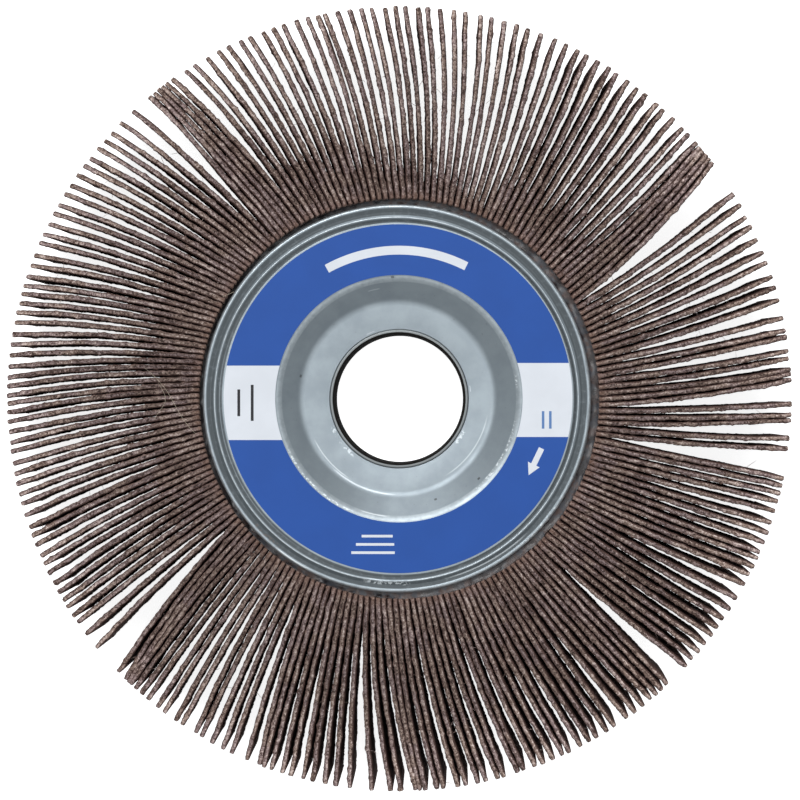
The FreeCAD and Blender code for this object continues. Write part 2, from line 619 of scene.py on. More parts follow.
FLANGE_MARKS_AND_GLINTS = (
    Mark(35.75, 0.50, 266.0, 8.5, 0.55, BARE_AND_GLINT, True),
    Mark(35.95, 0.18, 299.0, 16.0, 0.35, BARE_AND_GLINT),
    Mark(37.00, 0.45, 320.0, 12.0, 0.75, BARE_AND_GLINT, True),
    Mark(37.40, 0.20, 236.5, 6.5, 0.90, BARE_AND_GLINT),
    Mark(36.90, 0.50, 226.0, 6.5, 0.60, RUST, True),
    Mark(37.35, 0.25, 355.0, 3.2, 0.90, SOOT),
    Mark(37.35, 0.25, 9.0, 4.2, 0.90, SOOT),
    # Painted glints on the dish's shoulder by the label, then painted highlights along the foot of
    # the dish's slope.
    Mark(23.00, 0.35, 330.0, 23.0, 0.90, BARE_AND_GLINT, True),
    Mark(22.95, 0.30, 8.5, 4.0, 0.90, BARE_AND_GLINT, True),
    Mark(23.60, 0.28, 225.0, 26.0, 0.80, BARE_AND_GLINT, True),
    Mark(22.90, 0.14, 257.5, 7.5, 0.60, BARE_AND_GLINT),
    Mark(18.70, 0.20, 247.0, 23.0, 0.40, BARE_AND_GLINT),
    Mark(18.30, 0.16, 222.0, 18.0, 0.35, BARE_AND_GLINT),
    Mark(17.50, 0.16, 325.0, 26.0, 0.30, BARE_AND_GLINT),
    # Scuffs, soot specks and scratches.
    Mark(14.10, 0.50, 217.0, 18.0, 0.50, BARE_AND_GLINT, True),
    Mark(14.10, 0.50, 327.0, 8.0, 0.50, BARE_AND_GLINT, True),
    Mark(23.60, 0.30, 93.0, 0.9, 0.60, SOOT),
    Mark(19.65, 0.28, 167.0, 1.0, 0.60, SOOT),
    Mark(20.80, 0.25, 290.0, 0.9, 0.70, SOOT),
    Mark(21.90, 0.25, 315.0, 0.9, 0.80, SOOT),
    Mark(21.70, 0.12, 103.0, 3.6, 0.28, BARE_AND_GLINT),
    Mark(14.00, 0.12, 113.5, 4.0, 0.25, BARE_AND_GLINT),
    Mark(14.00, 0.12, 8.0, 3.0, 0.35, BARE_AND_GLINT),
)


@dataclass(frozen=True)
class RimBand:
    """A band between two radii about a middle, and how much of its finish shows."""

    inner: float
    outer: float
    share: float
    middle: Point2 = (0.0, 0.0)


@dataclass(frozen=True)
class ZincPlate:
    """Pressed steel, plated with dull, bluish zinc, lighter on its ridges as wear and painted
    highlight, darker in its furrows as dirt and painted shade.
    """

    light: Colour = (0.29, 0.335, 0.365)
    dull: Colour = (0.245, 0.285, 0.315)
    stain: Colour = (0.17, 0.19, 0.19)
    dirt_and_shade: Colour = (0.062, 0.074, 0.081)
    worn_and_highlight: Colour = (0.62, 0.68, 0.71)
    # Furrows by the land's edge, the bead and the lip, darkened as dirt and painted shade.
    dirt_and_shade_bands: tuple[RimBand, ...] = (
        RimBand(34.10, 34.55, 0.92, LAND_MIDDLE),
        RimBand(34.30, 34.95, 0.92, BEAD_MIDDLE),
        RimBand(35.50, 36.85, 0.92, LIP_MIDDLE),
    )
    # The dish's shoulder, lightened as painted highlight; the bead's and lip's ridges, lightened as
    # wear and painted highlight.
    worn_and_highlight_bands: tuple[RimBand, ...] = (
        RimBand(22.70, 23.75, 0.32),
        RimBand(35.10, 35.32, 0.70, BEAD_MIDDLE),
        RimBand(37.10, 37.50, 0.66, LIP_MIDDLE),
    )
    cloud_size: float = 5.0
    mottle_size: float = 1.1
    fleck_size: float = 0.65
    speck_size: float = 0.55
    rolled_size: float = 0.35

    @staticmethod
    def covered(recipe: Recipe, bands: Sequence[RimBand]) -> object:
        """How much a point lies in any of some bands, with soft edges."""
        total: object = 0.0
        for band in bands:
            radius = recipe.radius(band.middle)
            past = recipe.ramp(radius, band.inner - 0.10, band.inner + 0.12)
            short = recipe.ramp(radius, band.outer - 0.12, band.outer + 0.10, band.share, 0.0)
            inside = recipe.math("MULTIPLY", past, short)
            total = recipe.math("ADD", total, inside, clamp=True)
        return total

    def add_marks(self, recipe: Recipe, colour: object) -> bpy.types.NodeSocket:
        """Lay the marks of use, and the painted highlights and glints, over the plating.

        Args:
            recipe: The material.
            colour: The colour so far.

        Returns:
            The colour with the marks.
        """
        radius = recipe.radius()
        turn = recipe.turn()
        height = recipe.add("ShaderNodeSeparateXYZ")
        recipe.feed(height.inputs[0], recipe.place)
        front = recipe.math("GREATER_THAN", height.outputs[2], 0.0)
        flecks = recipe.ramp(recipe.noise(self.fleck_size, 2.0, 0.6), 0.50, 0.60)
        for mark in FLANGE_MARKS_AND_GLINTS:
            beside = recipe.math("ABSOLUTE", recipe.math("SUBTRACT", radius, mark.radius))
            angle = (mark.angle + 180) % 360 - 180
            along = recipe.math("ABSOLUTE", recipe.math("SUBTRACT", turn, angle))
            near = recipe.ramp(beside, 0.4 * mark.reach, mark.reach, mark.strength, 0.0)
            share = recipe.math("MULTIPLY", front, near)
            within = recipe.ramp(along, 0.6 * mark.sweep, mark.sweep, 1.0, 0.0)
            share = recipe.math("MULTIPLY", share, within)
            if mark.broken:
                share = recipe.math("MULTIPLY", share, flecks)
            colour = recipe.blend(share, colour, mark.colour)
        return colour

    def material(self) -> bpy.types.Material:
        """Make the material."""
        recipe = Recipe("zinc_plate")
        clouds = recipe.noise(self.cloud_size, 4.0, 0.55)
        mottle = recipe.noise(self.mottle_size, 3.0, 0.6)
        colour = recipe.blend(recipe.ramp(clouds, 0.3, 0.7), self.dull, self.light)
        specks = recipe.ramp(recipe.noise(self.speck_size, 1.0, 0.5), 0.73, 0.80)
        colour = recipe.blend(recipe.math("MULTIPLY", specks, 0.5), colour, self.stain)
        # Dirt and painted shade darken the furrows, unevenly; less metal and rougher there.
        uneven = recipe.ramp(mottle, 0.25, 0.5, 0.75, 1.0)
        dirt_and_shade_share = recipe.math("MULTIPLY", self.covered(recipe, self.dirt_and_shade_bands), uneven)
        # Wear and painted highlight lighten the shoulder and the ridges, in patches.
        patchy = recipe.ramp(mottle, 0.35, 0.6, 0.45, 1.0)
        bare_and_highlight = recipe.math("MULTIPLY", self.covered(recipe, self.worn_and_highlight_bands), patchy)
        colour = recipe.blend(bare_and_highlight, recipe.blend(dirt_and_shade_share, colour, self.dirt_and_shade), self.worn_and_highlight)
        recipe.set(Base_Color=self.add_marks(recipe, colour))
        recipe.set(Metallic=recipe.math("SUBTRACT", 0.65, recipe.math("MULTIPLY", dirt_and_shade_share, 0.55)))
        rough = recipe.ramp(clouds, 0.3, 0.7, 0.46, 0.38)
        rough = recipe.math("ADD", rough, recipe.math("MULTIPLY", dirt_and_shade_share, 0.3))
        recipe.set(Roughness=recipe.math("SUBTRACT", rough, recipe.math("MULTIPLY", bare_and_highlight, 0.12)))
        rolled = recipe.noise(self.rolled_size, 2.0, 0.5)
        recipe.set(Normal=recipe.bump(rolled, 0.006, 0.5, recipe.bump(clouds, 0.03, 0.5)))
        return recipe.material


@dataclass(frozen=True)
class TubeSteel:
    """Drawn tube: dull grey at its ends; inside the bore, painted shade makes it near black and
    unreflective.
    """

    bright: Colour = (0.20, 0.215, 0.22)
    # The bore wall's colour: painted shade, near black.
    dark: Colour = (0.012, 0.011, 0.010)
    inside_radius: float = 12.98
    edge: float = 0.04
    streak_size: float = 0.8

    def material(self) -> bpy.types.Material:
        """Make the material."""
        recipe = Recipe("tube_steel")
        low, high = self.inside_radius - self.edge, self.inside_radius + self.edge
        # Inside the bore, painted shade: near black, not metallic, hardly reflecting.
        inside = recipe.ramp(recipe.radius(), low, high, 1.0, 0.0)
        streaks = recipe.noise(self.streak_size, 3.0, 0.6)
        recipe.set(Base_Color=recipe.blend(inside, self.bright, self.dark))
        metal = recipe.math("SUBTRACT", 0.9, recipe.math("MULTIPLY", inside, 0.9))
        recipe.set(Metallic=metal, Specular_IOR_Level=0.04)
        recipe.set(Roughness=recipe.ramp(inside, 0.0, 1.0, 0.45, 0.8))
        recipe.set(Normal=recipe.bump(streaks, 0.02, 0.5))
        return recipe.material


@dataclass(frozen=True)
class CastResin:
    """Dark resin, glossy where it squeezed out, with fine dust in it and painted shade on one side.
    """

    deep: Colour = (0.014, 0.011, 0.012)
    dust_and_sheen: Colour = (0.056, 0.059, 0.071)
    brown: Colour = (0.085, 0.052, 0.045)
    # The middle of the side kept dark as painted shade, in degrees.
    shaded_side: float = 157.0
    cloud_size: float = 2.4
    dust_size: float = 1.3
    ripple_size: float = 0.7

    def material(self) -> bpy.types.Material:
        """Make the material: painted shade on one side of the wheel; dust and painted sheen on the
        other, weaker towards the right.
        """
        recipe = Recipe("cast_resin")
        clouds = recipe.noise(self.cloud_size, 3.0, 0.6)
        # Dust and painted sheen show away from the shaded side, weaker opposite it.
        offset = recipe.math("SUBTRACT", recipe.turn(), self.shaded_side)
        aside = recipe.math("PINGPONG", recipe.math("ADD", offset, 360.0), 180.0)
        dust_and_light = recipe.ramp(aside, 40.0, 74.0)
        dust_and_light = recipe.math("MULTIPLY", dust_and_light, recipe.ramp(aside, 105.0, 140.0, 1.0, 0.68))
        dust = recipe.ramp(recipe.noise(self.dust_size, 2.0, 0.5), 0.42, 0.60)
        dust_and_sheen = recipe.blend(dust, self.dust_and_sheen, self.brown)
        share = recipe.math("MULTIPLY", recipe.ramp(clouds, 0.30, 0.60), dust_and_light)
        recipe.set(Base_Color=recipe.blend(share, self.deep, dust_and_sheen))
        recipe.set(Roughness=recipe.ramp(clouds, 0.3, 0.7, 0.22, 0.5))
        recipe.set(Normal=recipe.bump(recipe.noise(self.ripple_size, 2.0, 0.5), 0.12, 0.6))
        return recipe.material


@dataclass(frozen=True)
class PrintedPaper:
    """Smooth coated paper in one printed colour, very faintly mottled."""

    name: str
    ink: Colour
    cloud_size: float = 7.0
    grain_size: float = 1.2

    def material(self) -> bpy.types.Material:
        """Make the material."""
        recipe = Recipe(self.name)
        clouds = recipe.ramp(recipe.noise(self.cloud_size, 3.0, 0.5), 0.3, 0.7)
        darker = tuple(0.94 * part for part in self.ink)
        colour = recipe.blend(clouds, darker, self.ink)
        recipe.set(Base_Color=colour, Roughness=0.55, Specular_IOR_Level=0.25)
        recipe.set(Normal=recipe.bump(recipe.noise(self.grain_size, 2.0, 0.5), 0.004, 0.4))
        return recipe.material


@dataclass(frozen=True)
class PaleFloor:
    """A plain pale floor like a light table, which shows white in the gaps between the flaps."""

    paper: Colour = (0.86, 0.86, 0.86)
    glow: float = 0.12
    seen_glow: float = 0.85

    def material(self) -> bpy.types.Material:
        """Make the material."""
        recipe = Recipe("pale_floor")
        recipe.set(Base_Color=self.paper, Roughness=0.9, Specular_IOR_Level=0.1)
        seen = recipe.add("ShaderNodeLightPath").outputs["Is Camera Ray"]
        strength = recipe.ramp(seen, 0.0, 1.0, self.glow, self.seen_glow)
        recipe.set(Emission_Color=(1.0, 1.0, 1.0), Emission_Strength=strength)
        return recipe.material


# The flaps

# A flap's middle points and its unit vectors across the sheet, row by row
CentreLine = tuple[np.ndarray, np.ndarray]

# The finish of each face round a flap's section: cloth edge 0, cloth back 1, grit 2, grit edge 3
SHEET_FINISHES = [1] * 5 + [0, 3] + [2] * 6 + [3, 0] + [1]


@dataclass(frozen=True)
class Sheet:
    """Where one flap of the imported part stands, in degrees."""

    node: str
    root: float
    tip: float


def sheets_of(node: str) -> list[Sheet]:
    """The flaps in one CAD node.

    Args:
        node: The node's name.

    Returns:
        One sheet for each separate solid in its mesh.
    """
    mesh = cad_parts[node].data
    points = np.array([vertex.co for vertex in mesh.vertices]) / MM
    keys = {}
    parent = list(range(len(points)))

    def top(i: int) -> int:
        """The index that stands for the solid that point i is in."""
        while parent[i] != i:
            parent[i] = parent[parent[i]]
            i = parent[i]
        return i

    for i, key in enumerate(map(tuple, np.round(points, 3))):
        parent[top(i)] = top(keys.setdefault(key, i))
    for edge in mesh.edges:
        a, b = edge.vertices
        parent[top(a)] = top(b)
    groups: dict[int, list[int]] = {}
    for i in range(len(points)):
        groups.setdefault(top(i), []).append(i)
    sheets = []
    for members in groups.values():
        own = points[members]
        radius = np.hypot(own[:, 0], own[:, 1])
        inner = own[radius < radius.min() + 0.4].mean(0)
        outer = own[radius > radius.max() - 0.4].mean(0)
        root = math.degrees(math.atan2(inner[1], inner[0])) % 360
        tip = math.degrees(math.atan2(outer[1], outer[0])) % 360
        lean = (tip - root + 180) % 360 - 180
        sheets.append(Sheet(node, root, root + lean))
    return sheets


@dataclass
class FlapFan:
    """All the flaps: curved, slightly twisted sheets with rough cut edges, in packs."""

    root_radius: float = 32.44
    shoulder_radius: float = 38.8
    tip_radius: float = 76.15
    half_face: float = 12.66
    neck_half: float = 8.56
    thickness: float = 0.88
    neck_thickness: float = 0.78
    spacing_share: float = 0.97
    rows: int = 116
    tip_rows: tuple[float, ...] = (0.991, 0.997, 1.0)
    chamfer: float = 0.24
    edge_share: float = 0.30
    edge_drop: float = 0.04
    tip_round: float = 0.016
    tip_flat: float = 0.45
    frayed_from: float = 0.90
    frayed_over: float = 0.08
    frayed_gain: float = 0.08
    tip_wear: float = 0.22
    shoulder_shifts: tuple[Point2, ...] = (
        (0, 0.0),
        (40, 0.0),
        (90, -0.8),
        (150, -1.1),
        (190, -0.7),
        (225, 0.0),
        (330, 0.1),
    )
    twist_places: tuple[float, ...] = (0.08, 0.33, 0.60, 0.95)
    twists: tuple[tuple[float, ...], ...] = (
        (0, 0.50, 0.38, 0.30, 0.05),
        (15, 0.55, 0.48, 0.52, 0.46),
        (30, 0.38, 0.25, 0.12, 0.00),
        (45, 0.60, 0.58, 0.48, 0.30),
        (60, 0.62, 0.64, 0.66, 0.66),
        (75, 0.42, 0.12, -0.16, -0.18),
        (90, 0.56, 0.24, -0.16, -0.26),
        (105, 0.65, 0.46, -0.02, -0.38),
        (120, 0.62, 0.54, 0.10, -0.50),
        (135, 0.62, 0.60, 0.32, -0.50),
        (150, 0.52, 0.40, 0.00, -0.45),
        (165, 0.45, 0.18, -0.12, -0.38),
        (180, 0.42, 0.12, -0.12, -0.36),
        (195, 0.42, 0.18, -0.02, -0.30),
        (210, 0.22, 0.12, 0.00, -0.06),
        (225, 0.02, 0.04, 0.00, -0.08),
        (240, -0.02, -0.06, -0.18, -0.26),
        (255, 0.50, 0.42, 0.38, 0.30),
        (270, 0.24, 0.04, 0.16, 0.27),
        (285, 0.42, 0.32, 0.22, 0.24),
        (300, 0.60, 0.60, 0.58, 0.50),
        (315, 0.60, 0.60, 0.62, 0.66),
        (330, 0.60, 0.60, 0.62, 0.56),
        (345, 0.55, 0.42, 0.36, 0.33),
    )
    twist_spread: float = 0.10
    cupping: float = 4.5
    tip_cupping: float = 1.4
    sway: float = 0.10
    wobble: float = 0.042
    jitter: float = 0.042
    relief: float = 0.085
    most_relief: float = 0.16
    lumps: float = 7.0
    lump_height: float = 0.12
    most_lump: float = 0.24
    tip_spread: float = 0.12
    fibres: float = 1.5
    sheets: list[Sheet] = field(default_factory=list)

    def find(self) -> None:
        """Read every flap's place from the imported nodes, in order round the wheel."""
        nodes = sorted(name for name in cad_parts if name.startswith("flap_pack"))
        found = [sheet for node in nodes for sheet in sheets_of(node)]
        self.sheets = sorted(found, key=lambda sheet: sheet.root)

    def row_shares(self) -> np.ndarray:
        """How far along a flap each row of points lies, from 0 to 1: closer at the rounded tip."""
        return np.append(np.linspace(0, 0.984, self.rows - len(self.tip_rows)), self.tip_rows)

    def shoulder_angle(self, sheet: Sheet) -> float:
        """Where a flap comes out beside the rim, in degrees: its neck leans a little on the way."""
        turns, shifts = zip(*self.shoulder_shifts)
        return sheet.root + float(np.interp(sheet.root % 360, turns, shifts, period=360))

    def centre_line(self, sheet: Sheet) -> CentreLine:
        """The middle of a flap's front edge from shoulder to tip.

        Args:
            sheet: The flap.

        Returns:
            The points and the unit vectors across the sheet, anticlockwise, both rows by 2.
        """
        share = self.row_shares()
        radius = self.shoulder_radius + (self.tip_radius - self.shoulder_radius) * share
        angle = np.radians(self.shoulder_angle(sheet) * (1 - share) + sheet.tip * share)
        points = np.stack([radius * np.cos(angle), radius * np.sin(angle)], -1)
        along = np.gradient(points, axis=0)
        along /= np.linalg.norm(along, axis=1)[:, None]
        return points, np.stack([-along[:, 1], along[:, 0]], -1)

    def room(self, lines: Sequence[CentreLine], i: int) -> np.ndarray:
        """How thick flap i can be in each row without running into its neighbours."""
        points, across = lines[i]
        after = np.abs(((lines[(i + 1) % len(lines)][0] - points) * across).sum(1))
        before = np.abs(((lines[i - 1][0] - points) * across).sum(1))
        return self.spacing_share * np.minimum(after, before)

    def twist(self, rng: np.random.Generator, sheet: Sheet, share: np.ndarray) -> np.ndarray:
        """How far a flap's rear edge stands anticlockwise of its front edge.

        Args:
            rng: The source of random numbers.
            sheet: The flap.
            share: How far along the flap each row is, from 0 to 1.

        Returns:
            The shift of each row in millimetres.
        """
        turns, *columns = zip(*self.twists)
        own = self.twist_spread * rng.normal()
        tip = sheet.tip % 360
        levels = [float(np.interp(tip, turns, column, period=360)) for column in columns]
        return np.interp(share, self.twist_places, levels) + own * share

    def lump_row(self, rng: np.random.Generator) -> np.ndarray:
        """How far proud grains push one side of a flap's front edge out, row by row."""
        rows = np.arange(self.rows)
        total = np.zeros(self.rows)
        for _ in range(rng.poisson(self.lumps)):
            height = self.lump_height * rng.uniform(0.4, 1.3)
            middle = rng.uniform(0, self.rows)
            total += height * np.exp(-(((rows - middle) / rng.uniform(0.8, 1.8)) ** 2))
        return np.minimum(total, self.most_lump)

    def add_fibres(self, surface: Surface, rng: np.random.Generator, body: np.ndarray) -> None:
        """Let a few frayed fibres stand out from a flap's front edge.

        Args:
            surface: Where they go.
            rng: The source of random numbers.
            body: The flap's rings of points, rows by points by 3.
        """
        for _ in range(rng.poisson(self.fibres)):
            row = int(len(body) * rng.uniform(0.05, 0.99))
            side = int(rng.choice((4, 8)))
            start = body[row, side]
            away = (body[row, side] - body[row, 12 - side]) * (1, 1, 0)
            away /= np.linalg.norm(away)
            beside = np.array([-away[1], away[0], 0.0])
            ahead = beside * rng.uniform(-0.9, 0.9)
            sink = np.array([0.0, 0.0, -rng.uniform(0.0, 0.4)])
            length = rng.uniform(0.25, 0.75) + 0.5 * rng.exponential()
            curl = rng.uniform(-0.7, 0.7)
            steps = np.linspace(-0.1, 1, 5)[:, None]
            path = start + length * (steps * (away + ahead + sink) + curl * steps**2 * beside)
            path[:, 2] = np.minimum(path[:, 2], self.half_face - 0.03)
            tube(surface, path, rng.uniform(0.03, 0.055), tone=float(rng.uniform(0, 0.5)))

    def section(self) -> tuple[np.ndarray, np.ndarray]:
        """A flap's section, 16 points anticlockwise seen from the tip.

        Returns:
            Each point's z, and how far across it lies as a share of the thickness.
        """
        side = self.half_face - self.chamfer
        side_z = np.array([-side, -self.neck_half, 0, self.neck_half, side])
        edge_z = self.half_face - np.array([self.edge_drop, 0.0, self.edge_drop])
        heights = np.concatenate([side_z, edge_z, side_z[::-1], -edge_z])
        edge = np.array([self.edge_share, 0, -self.edge_share])
        across = np.concatenate([np.full(5, 0.5), edge, np.full(5, -0.5), -edge])
        return heights, across

    def widths(self, rng: np.random.Generator, share: np.ndarray, room: np.ndarray) -> np.ndarray:
        """How thick each row is: uneven, a little frayed near the tip and rounded at it."""
        thick = np.minimum(self.thickness, room) * (1 + 0.05 * smooth_noise(rng, self.rows, 6))
        end = np.clip((1 - share) / self.tip_round, 0, 1)
        frayed = np.clip((share - self.frayed_from) / self.frayed_over, 0, 1)
        tapered = self.tip_flat + (1 - self.tip_flat) * np.sqrt(1 - (1 - end) ** 2)
        return thick * (tapered * (1 + self.frayed_gain * frayed))

    def sideways(
        self,
        rng: np.random.Generator,
        sheet: Sheet,
        share: np.ndarray,
        heights: np.ndarray,
        edges: tuple[np.ndarray, np.ndarray],
    ) -> np.ndarray:
        """How far each point strays anticlockwise: twist, sway, ragged edges and proud grains.

        Args:
            rng: The source of random numbers.
            sheet: The flap.
            share: How far along the flap each row is, from 0 to 1.
            heights: The z of each point of the section.
            edges: How much each of these belongs to the front and to the rear edge.

        Returns:
            The shifts in millimetres, rows by points.
        """
        depth = np.clip(0.5 - heights / (2 * self.half_face), 0, 1)
        cupping = np.interp(share, (0.75, 1), (self.cupping, self.tip_cupping))[:, None]
        lateral = self.twist(rng, sheet, share)[:, None] * (1 - (1 - depth[None, :]) ** cupping)
        sway = self.sway * smooth_noise(rng, self.rows, 22) * share
        front = self.wobble * smooth_noise(rng, self.rows, 2.2)
        rear = self.wobble * smooth_noise(rng, self.rows, 2.2)
        lateral = lateral + sway[:, None] + front[:, None] * edges[0] + rear[:, None] * edges[1]
        lateral = lateral + self.jitter * rng.normal(size=lateral.shape) * sum(edges)
        lateral[:, 4:6] += self.lump_row(rng)[:, None]
        lateral[:, 7:9] -= self.lump_row(rng)[:, None]
        return lateral

    def add_sheet(self, surface: Surface, i: int, line: CentreLine, room: np.ndarray) -> None:
        """Add one flap's closed skin: its body with a neck between the flanges.

        Args:
            surface: Where it goes.
            i: The flap's place in the order round the wheel.
            line: Its middle points and across vectors.
            room: The most thickness in each row.
        """
        rng = np.random.default_rng(SEED + i)
        sheet = self.sheets[i]
        points, across = line
        share = self.row_shares()
        heights, across_shares = self.section()
        edges = tuple(np.clip(side * heights / self.half_face, 0, 1) ** 6 for side in (1, -1))
        thick = self.widths(rng, share, room)
        lateral = self.sideways(rng, sheet, share, heights, edges)
        offset = across_shares[None, :] * thick[:, None] + lateral
        dip = self.relief * np.abs(rng.normal(size=lateral.shape)) * sum(edges)
        z = np.repeat(heights[None, :], self.rows, 0)
        z = z - np.sign(z) * np.minimum(dip, self.most_relief)
        flat = points[:, None, :] + across[:, None, :] * offset[:, :, None]
        along = np.stack([across[:, 1], -across[:, 0]], -1)
        at_tip = np.clip(1 - (1 - share[:, None]) / 0.012, 0, 1)
        wear = self.tip_wear * (np.abs(heights) / self.half_face) ** 40 * at_tip
        own_end = -min(self.tip_spread * abs(rng.normal()), 1.0)
        stretch = own_end * share[:, None] ** 2 - wear
        flat = flat + along[:, None, :] * stretch[:, :, None]
        body = np.concatenate([flat, z[:, :, None]], -1)
        tone = float(np.clip(0.5 + 0.22 * rng.normal(), 0, 1))
        first = self.add_skin(surface, body, tone)
        self.add_neck(surface, sheet, first, tone)
        self.add_fibres(surface, rng, body)

    @staticmethod
    def add_skin(surface: Surface, body: np.ndarray, tone: float) -> int:
        """Cover a flap's body, with the way to its neck left open.

        Args:
            surface: Where it goes.
            body: The flap's rings of points, rows by points by 3.
            tone: The flap's own tone.

        Returns:
            The index of the first point.
        """
        rows, ring, _ = body.shape
        first = surface.add_points(body.reshape(-1, 3), tone)
        for row in range(rows - 1):
            low = range(first + row * ring, first + (row + 1) * ring)
            high = range(first + (row + 1) * ring, first + (row + 2) * ring)
            surface.add_strip(high, low, SHEET_FINISHES)
        last = first + (rows - 1) * ring
        for j in range(4):
            surface.add_face((last + j, last + j + 1, last + 11 - j, last + 12 - j)[::-1])
        surface.add_face([last + k for k in (8, 7, 6, 5, 4)])
        surface.add_face([last + k for k in (0, 15, 14, 13, 12)])
        for corners in ((0, 1, 11, 12), (3, 4, 8, 9), (4, 5, 6, 7, 8), (12, 13, 14, 15, 0)):
            surface.add_face([first + k for k in corners])
        return first

    def add_neck(self, surface: Surface, sheet: Sheet, first: int, tone: float) -> None:
        """Close the body's inner end with the neck that reaches in between the flanges."""
        angle = math.radians(sheet.root)
        outwards = np.array([math.cos(angle), math.sin(angle)])
        across = np.array([-outwards[1], outwards[0]])
        rings = []
        half = self.neck_thickness / 2
        for radius in (self.root_radius, 0.5 * (self.root_radius + self.shoulder_radius)):
            corners = [(half, z) for z in (-self.neck_half, 0, self.neck_half)]
            corners += [(-half, z) for z in (self.neck_half, 0, -self.neck_half)]
            points = np.array([[*(outwards * radius + across * side), z] for side, z in corners])
            start = surface.add_points(points, tone)
            rings.append(list(range(start, start + 6)))
        rings.append([first + k for k in (1, 2, 3, 9, 10, 11)])
        for low, high in zip(rings, rings[1:]):
            surface.add_strip(high, low, [1, 1, 0, 2, 2, 0])
        inner = rings[0]
        surface.add_face((inner[0], inner[1], inner[4], inner[5]))
        surface.add_face((inner[1], inner[2], inner[3], inner[4]))

    def build(self) -> None:
        """Make one piece for each CAD pack, which it stands for."""
        self.find()
        grit_edge = CutEdge(
            name="cut_grit",
            grain=(0.145, 0.102, 0.084),
            cool_grain=(0.138, 0.098, 0.096),
            bright=(0.360, 0.290, 0.262),
        )
        finishes = (CutEdge(), ClothBack(), GritFace(), grit_edge)
        materials = [finish.material() for finish in finishes]
        lines = [self.centre_line(sheet) for sheet in self.sheets]
        packs: dict[str, Surface] = {}
        for i, sheet in enumerate(self.sheets):
            surface = packs.setdefault(sheet.node, Surface())
            self.add_sheet(surface, i, lines[i], self.room(lines, i))
        for node, surface in sorted(packs.items()):
            surface.piece(f"cloth_{node}", materials, Slot.CLOTH, [node])


@dataclass(frozen=True)
class LooseYarn:
    """Pale yarn that has come out of the cloth."""

    colour: Colour = (0.50, 0.43, 0.34)

    def material(self) -> bpy.types.Material:
        """Make the material."""
        recipe = Recipe("loose_yarn")
        recipe.set(Base_Color=self.colour, Roughness=0.85, Specular_IOR_Level=0.2)
        return recipe.material


@dataclass
class LooseThreads:
    """Two threads that lie across the flaps, and a hair beside the rim."""

    height: float = 12.655
    radius: float = 0.038
    paths: tuple[tuple[Point2, ...], ...] = (
        ((190.0, 39.8), (182.9, 42.9), (177.7, 45.2), (172.9, 49.8)),
        ((185.1, 47.5), (182.3, 46.0), (180.0, 45.2), (176.3, 46.7)),
        ((147.0, 38.0), (148.6, 38.7), (150.0, 39.4)),
    )

    def build(self) -> None:
        """Make the piece."""
        surface = Surface()
        for knots in self.paths:
            turns, radii = np.array(knots).T
            along = np.linspace(0, len(knots) - 1, 28)
            fit = min(3, len(knots) - 1)
            turn = np.radians(np.polyval(np.polyfit(range(len(knots)), turns, fit), along))
            far = np.polyval(np.polyfit(range(len(knots)), radii, fit), along)
            height = np.full(len(along), self.height)
            path = np.stack([far * np.cos(turn), far * np.sin(turn), height], -1)
            tube(surface, path, self.radius)
        surface.piece("loose_threads", [LooseYarn().material()], Slot.CLOTH)


# The hub


